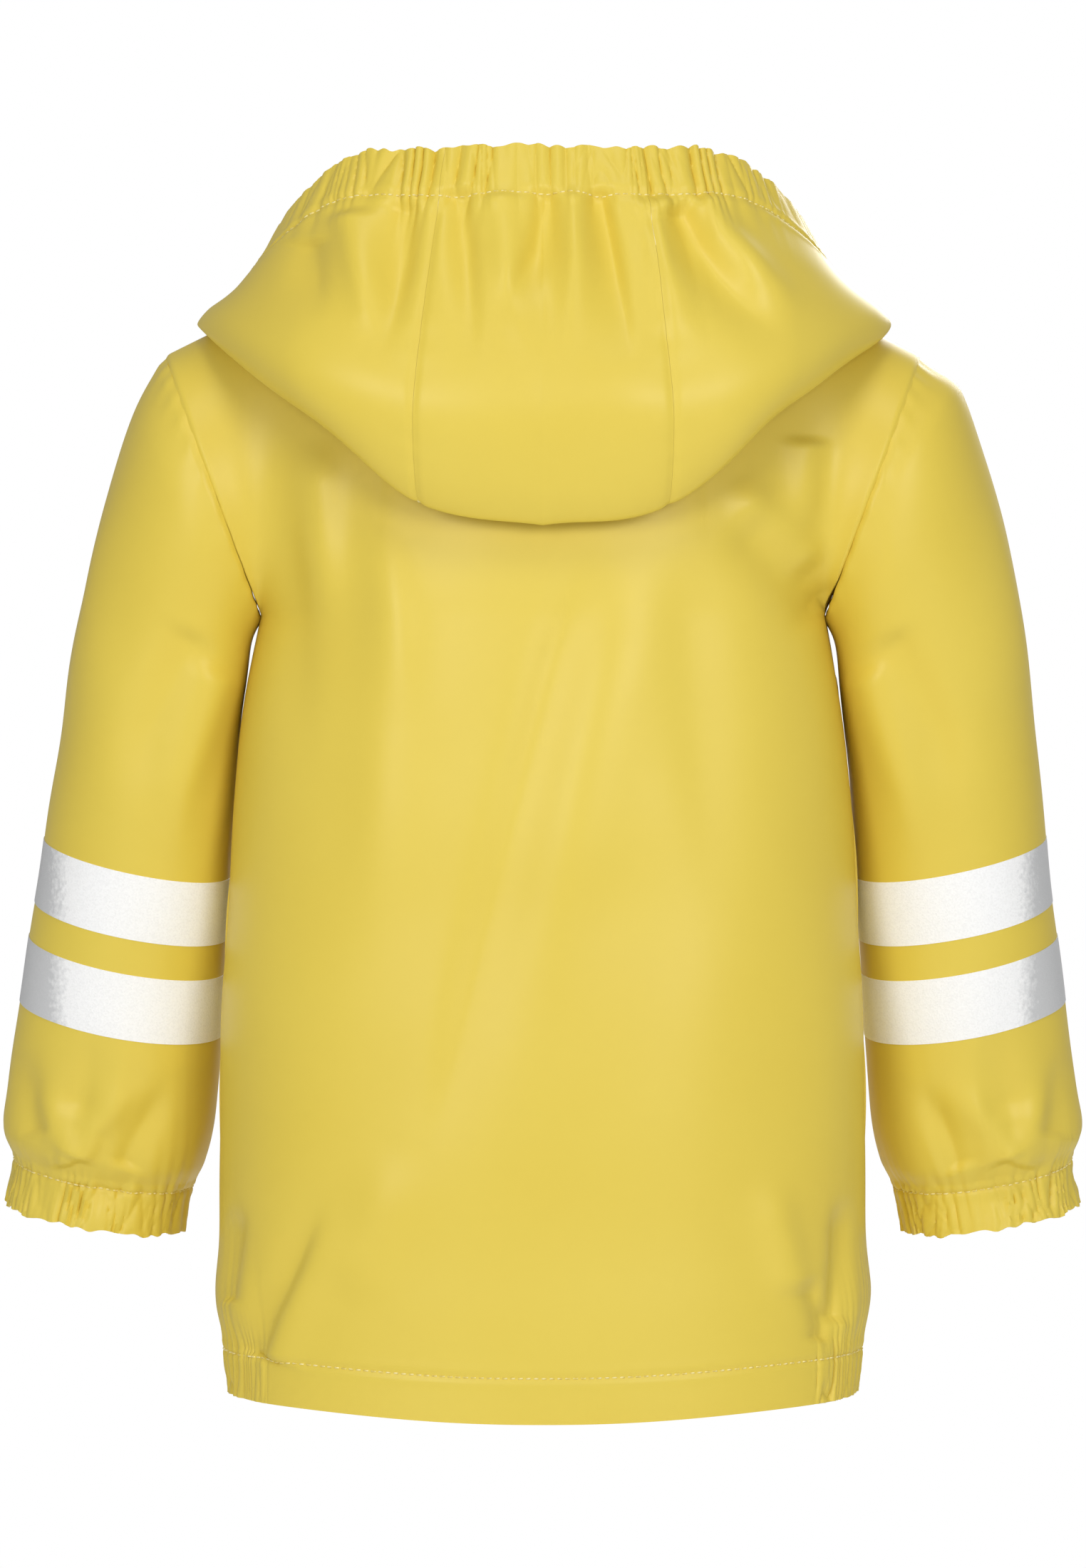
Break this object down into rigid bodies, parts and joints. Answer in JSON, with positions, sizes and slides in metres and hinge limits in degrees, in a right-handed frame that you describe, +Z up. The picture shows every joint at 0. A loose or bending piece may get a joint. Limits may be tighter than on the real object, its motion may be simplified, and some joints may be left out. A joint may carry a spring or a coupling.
{
  "type": "foul weather jacket",
  "caption": "Child's hip-length hooded rain jacket with front zip, storm flap, patch pockets, elasticated cuffs, hem and hood, and reflective bands on the sleeves.",
  "frame": {"origin": "where the hanger loop inside the back neck bears on a hook", "axes": "+X to the wearer's left, +Y to the wearer's back, +Z up"},
  "size_m": [0.472, 0.2088, 0.5552],
  "materials": {
    "coated_cloth": "polyurethane coated, smooth, satin",
    "reflective": "retroreflective, silver white",
    "elastic": "woven elastic, matte",
    "seam_tape": "welded tape, satin",
    "zip_tape": "woven, matte",
    "zip_plastic": "moulded, semi gloss",
    "nickel": "nickel plated, polished",
    "label": "woven satin, blank"
  },
  "bodies": {
    "torso": {"back_panel": "coated_cloth", "front_panel_left": "coated_cloth", "front_panel_right": "coated_cloth", "side_seam_tape_left": "seam_tape", "side_seam_tape_right": "seam_tape", "shoulder_seam_tape_left": "seam_tape", "shoulder_seam_tape_right": "seam_tape", "hem_elastic_left": "elastic", "hem_elastic_right": "elastic", "neck_facing": "seam_tape", "hanger_loop": "coated_cloth", "care_label": "label", "zip_tape_left": "zip_tape", "zip_tape_right": "zip_tape", "zip_teeth_left": "zip_plastic", "zip_teeth_right": "zip_plastic", "zip_top_stop_left": "zip_plastic", "zip_top_stop_right": "zip_plastic", "zip_bottom_box": "zip_plastic", "zip_bottom_pin": "zip_plastic", "storm_snap_stud_1": "nickel", "storm_snap_stud_2": "nickel", "storm_snap_stud_3": "nickel", "storm_snap_stud_4": "nickel", "pocket_left": "coated_cloth", "pocket_right": "coated_cloth"},
    "left_sleeve": {"sleeve_left": "coated_cloth", "reflective_band_upper_left": "reflective", "reflective_band_lower_left": "reflective", "cuff_elastic_left": "elastic"},
    "right_sleeve": {"sleeve_right": "coated_cloth", "reflective_band_upper_right": "reflective", "reflective_band_lower_right": "reflective", "cuff_elastic_right": "elastic"},
    "hood": {"hood_centre_panel": "coated_cloth", "hood_side_panel_left": "coated_cloth", "hood_side_panel_right": "coated_cloth", "hood_seam_tape_left": "seam_tape", "hood_seam_tape_right": "seam_tape", "hood_elastic": "elastic"},
    "storm_flap": {"storm_flap": "coated_cloth", "storm_snap_cap_1": "nickel", "storm_snap_cap_2": "nickel", "storm_snap_cap_3": "nickel", "storm_snap_cap_4": "nickel"},
    "slider": {"zip_slider": "nickel", "zip_slider_back": "nickel"},
    "puller": {"zip_puller": "nickel"},
    "left_pocket_flap": {"pocket_flap_left": "coated_cloth"},
    "right_pocket_flap": {"pocket_flap_right": "coated_cloth"}
  },
  "joints": [
    {"name": "left_sleeve_raise", "type": "hinge", "parent": "torso", "child": "left_sleeve", "pos_m": [0.165, -0.042, -0.0375], "axis": [0, -1, 0], "range_deg": [0, 80]},
    {"name": "right_sleeve_raise", "type": "hinge", "parent": "torso", "child": "right_sleeve", "pos_m": [-0.165, -0.042, -0.0375], "axis": [0, 1, 0], "range_deg": [0, 80]},
    {"name": "hood_raise", "type": "hinge", "parent": "torso", "child": "hood", "pos_m": [0, -0.104, -0.047], "axis": [1, 0, 0], "range_deg": [0, 70]},
    {"name": "zip_slide", "type": "slide", "parent": "torso", "child": "slider", "axis": [0, 0.0702, 0.9975], "range_m": [-0.41, 0]},
    {"name": "zip_puller_swing", "type": "hinge", "parent": "slider", "child": "puller", "pos_m": [0, -0.10253, -0.06199], "axis": [-1, 0, 0], "range_deg": [0, 150]},
    {"name": "storm_flap_open", "type": "hinge", "parent": "torso", "child": "storm_flap", "pos_m": [0.027, -0.11976, -0.28132], "axis": [0, 0.0702, 0.9975], "range_deg": [0, 110]},
    {"name": "left_pocket_flap_lift", "type": "hinge", "parent": "torso", "child": "left_pocket_flap", "pos_m": [0.0878, -0.1104, -0.33], "axis": [-0.9349, -0.355, 0], "range_deg": [0, 110]},
    {"name": "right_pocket_flap_lift", "type": "hinge", "parent": "torso", "child": "right_pocket_flap", "pos_m": [-0.0878, -0.1104, -0.33], "axis": [-0.9349, 0.355, 0], "range_deg": [0, 110]}
  ]
}
